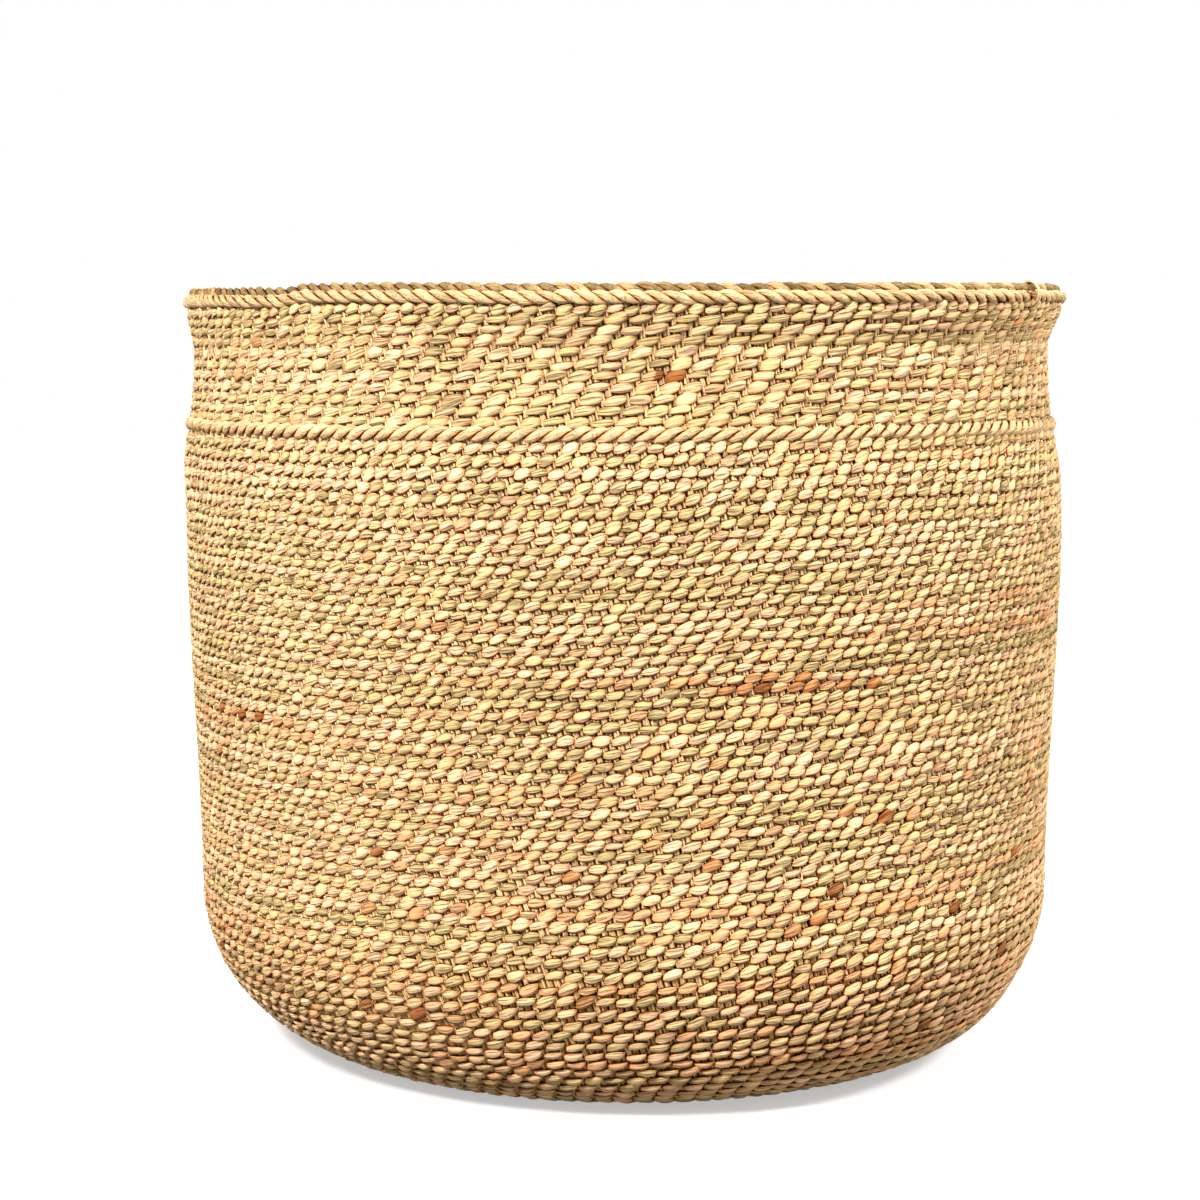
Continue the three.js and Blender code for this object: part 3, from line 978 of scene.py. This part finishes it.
def tie_path():
    """Points (radius, height) over and round the outer rope, with the way out at each."""
    rise = RIM_RISE + RIM_SIDE_RISE * math.sin(TIE_ANGLE) ** 2
    rope_radius = wall_radius(rim_rope_height) - RIM_ROPE_DEPTH - TIE_OFF_ROPE
    rope_height = rim_rope_height + rise + TIE_OFF_ROPE
    reach = RIM_LAY_RADIUS + RIM_STRAND_RADIUS + TIE_HALF_THICKNESS
    path = []
    for step in range(TIE_STEPS):
        share = step / (TIE_STEPS - 1)
        turn = math.radians(TIE_FROM + (TIE_TO - TIE_FROM) * share)
        tuck = 1 - 0.35 * smoothstep(share, 0.84, 1.0)
        out = reach * tuck * math.cos(turn)
        up = 1.25 * reach * tuck * math.sin(turn)
        path.append((rope_radius + out, rope_height + up, turn))
    return path


def tie_strip():
    """The strip as a closed flat tube along its path, with its fibres along it."""
    points, faces, fibres = [], [], []
    for step, (radius, height, turn) in enumerate(tie_path()):
        share = step / (TIE_STEPS - 1)
        narrow = 0.55 + 0.45 * math.sin(math.pi * min(max(share, 0.06), 0.94)) ** 0.6
        for side in range(TIE_SIDES):
            around = 2 * math.pi * side / TIE_SIDES
            across = TIE_HALF_WIDTH * narrow * math.cos(around)
            lift = TIE_HALF_THICKNESS * math.sin(around) * (1 + 0.25 * math.cos(5 * around + 7 * share))
            lift -= TIE_LIFT * (across / TIE_HALF_WIDTH) * math.sin(math.pi * share)
            lift += TIE_CROWN * math.cos(2 * across / TIE_HALF_WIDTH)
            out = radius + lift * math.cos(turn)
            angle = TIE_ANGLE + (across + TIE_SLIP * (share - 0.5)) / radius
            points.append((out * math.sin(angle), -out * math.cos(angle), height + lift * math.sin(turn)))
            fibres += (math.cos(around), math.sin(around), share * 1.5 + 3.0)
    for step in range(TIE_STEPS - 1):
        for side in range(TIE_SIDES):
            a, b = step * TIE_SIDES + side, step * TIE_SIDES + (side + 1) % TIE_SIDES
            faces.append((a, b, b + TIE_SIDES, a + TIE_SIDES))
    faces.append(tuple(reversed(range(TIE_SIDES))))
    faces.append(tuple(range((TIE_STEPS - 1) * TIE_SIDES, TIE_STEPS * TIE_SIDES)))
    mesh = bpy.data.meshes.new("rim_tie_strip")
    mesh.from_pydata(points, [], faces)
    mesh.polygons.foreach_set("use_smooth", [True] * len(faces))
    mesh.attributes.new("fibre", "FLOAT_VECTOR", "POINT").data.foreach_set("vector", fibres)
    for mark, value in TIE_MARKS:
        mesh.attributes.new(mark, "FLOAT", "POINT").data.foreach_set("value", [value] * len(points))
    mesh.materials.append(rope_grass)
    piece = bpy.data.objects.new("rim_tie_strip", mesh)
    bpy.context.collection.objects.link(piece)
    return piece


belongs(tie_strip(), "rim_tie")

# The outside line only guides the trees above, so it leaves the scene
bpy.data.objects.remove(profile)
bpy.data.curves.remove(profile_curve)


# Floor and light: a white painted sweep under the basket, in warm daylight from all round.
# The floor looks white to the camera and throws back little light, so that the heel stays in its own shade.
# One lamp stands for a window at the upper left, and a weaker one for a white wall at the right.
FLOOR_REACH = 8
FLOOR_BELOW = 0.0006
FLOOR_SHADE = (0.18, 0.17, 0.16, 1)
FLOOR_WHITE = (0.72, 0.72, 0.72, 1)
FLOOR_GLOW = 0.46
DAYLIGHT = (1, 0.89, 0.76, 1)
DAYLIGHT_STRENGTH = 0.50
WHITE = (1, 1, 1, 1)
OVERHEAD_ENERGY = 1.3
OVERHEAD_SPREAD = 70
OVERHEAD_LEAN = 12
OVERHEAD_TURN = -10
LAMP_SIZE = 0.4
# Name, watts, place, and degrees of lean and turn
LAMPS = [
    ("window", 76.5, (-0.78, -1.68, 1.5), 54, -25),
    ("white_wall", 36, (1.6, -0.34, 1.3), 55, 78),
]


def seen_ray(wire):
    """1 for what the camera sees, straight, mirrored or through glass, and 0 for what lights the basket."""
    ray = wire.node("ShaderNodeLightPath", None, None, "Is Camera Ray")
    return ray.math("MAXIMUM", ray["Is Glossy Ray"]).math("MAXIMUM", ray["Is Transmission Ray"])


def floor_paint():
    """Dull white paint, with a glow that only the camera sees."""
    material = bpy.data.materials.new("white_floor")
    material.use_nodes = True
    material.node_tree.nodes.clear()
    wire = Wire(material.node_tree)
    paint = wire.node(
        "ShaderNodeBsdfPrincipled", None, {"Base Color": FLOOR_SHADE, "Roughness": 0.9}, "BSDF"
    )
    white = wire.node(
        "ShaderNodeBsdfPrincipled", None, {"Base Color": FLOOR_WHITE, "Roughness": 0.9}, "BSDF"
    )
    glow = wire.node("ShaderNodeEmission", None, {"Color": WHITE, "Strength": FLOOR_GLOW}, "Emission")
    bright = wire.node("ShaderNodeAddShader", None, {0: white, 1: glow}, "Shader")
    surface = wire.node("ShaderNodeMixShader", None, {0: seen_ray(wire), 1: paint, 2: bright}, "Shader")
    wire.node("ShaderNodeOutputMaterial", None, {"Surface": surface})
    return material


floor_mesh = bpy.data.meshes.new("floor")
floor_corners = [(x * FLOOR_REACH, y * FLOOR_REACH, 0) for x, y in ((-1, -1), (1, -1), (1, 1), (-1, 1))]
floor_mesh.from_pydata(floor_corners, [], [(0, 1, 2, 3)])
floor_mesh.materials.append(floor_paint())
floor = bpy.data.objects.new("floor", floor_mesh)
floor.location.z = -FLOOR_BELOW
bpy.context.collection.objects.link(floor)

world = bpy.data.worlds.new("daylight")
bpy.context.scene.world = world
world.use_nodes = True
world.node_tree.nodes.clear()
sky = Wire(world.node_tree)
daylight = sky.node(
    "ShaderNodeBackground", None, {"Color": DAYLIGHT, "Strength": DAYLIGHT_STRENGTH}, "Background"
)
backdrop = sky.node("ShaderNodeBackground", None, {"Color": WHITE, "Strength": 1.0}, "Background")
around = sky.node("ShaderNodeMixShader", None, {0: seen_ray(sky), 1: daylight, 2: backdrop}, "Shader")
sky.node("ShaderNodeOutputWorld", None, {"Surface": around})

overhead_lamp = bpy.data.lights.new("overhead", "SUN")
overhead_lamp.energy = OVERHEAD_ENERGY
overhead_lamp.angle = math.radians(OVERHEAD_SPREAD)
overhead = bpy.data.objects.new("overhead", overhead_lamp)
overhead.rotation_euler = (math.radians(OVERHEAD_LEAN), 0, math.radians(OVERHEAD_TURN))
bpy.context.collection.objects.link(overhead)

for name, energy, place, lean, turn in LAMPS:
    lamp = bpy.data.lights.new(name, "AREA")
    lamp.energy = energy
    lamp.size = LAMP_SIZE
    panel = bpy.data.objects.new(name, lamp)
    panel.location = place
    panel.rotation_euler = (math.radians(lean), 0, math.radians(turn))
    bpy.context.collection.objects.link(panel)


# Camera: on a stand about a metre in front of the basket, a little below the height of the rim.
# It is turned down a little and very slightly to the left. The lens is long, and everything is in focus.
CAMERA_LENS = 77.83
CAMERA_SENSOR = 36
CAMERA_REACH = 100
CAMERA_PLACE = (0, -1.080, 0.2831)
CAMERA_DOWN = 5.5
CAMERA_LEFT = 0.519
camera_data = bpy.data.cameras.new("camera")
camera_data.lens = CAMERA_LENS
camera_data.sensor_width = CAMERA_SENSOR
camera_data.clip_end = CAMERA_REACH
camera = bpy.data.objects.new("camera", camera_data)
camera.location = CAMERA_PLACE
camera.rotation_euler = (math.radians(90 - CAMERA_DOWN), 0, math.radians(CAMERA_LEFT))
bpy.context.collection.objects.link(camera)
bpy.context.scene.camera = camera
bpy.context.scene.view_settings.view_transform = "Standard"
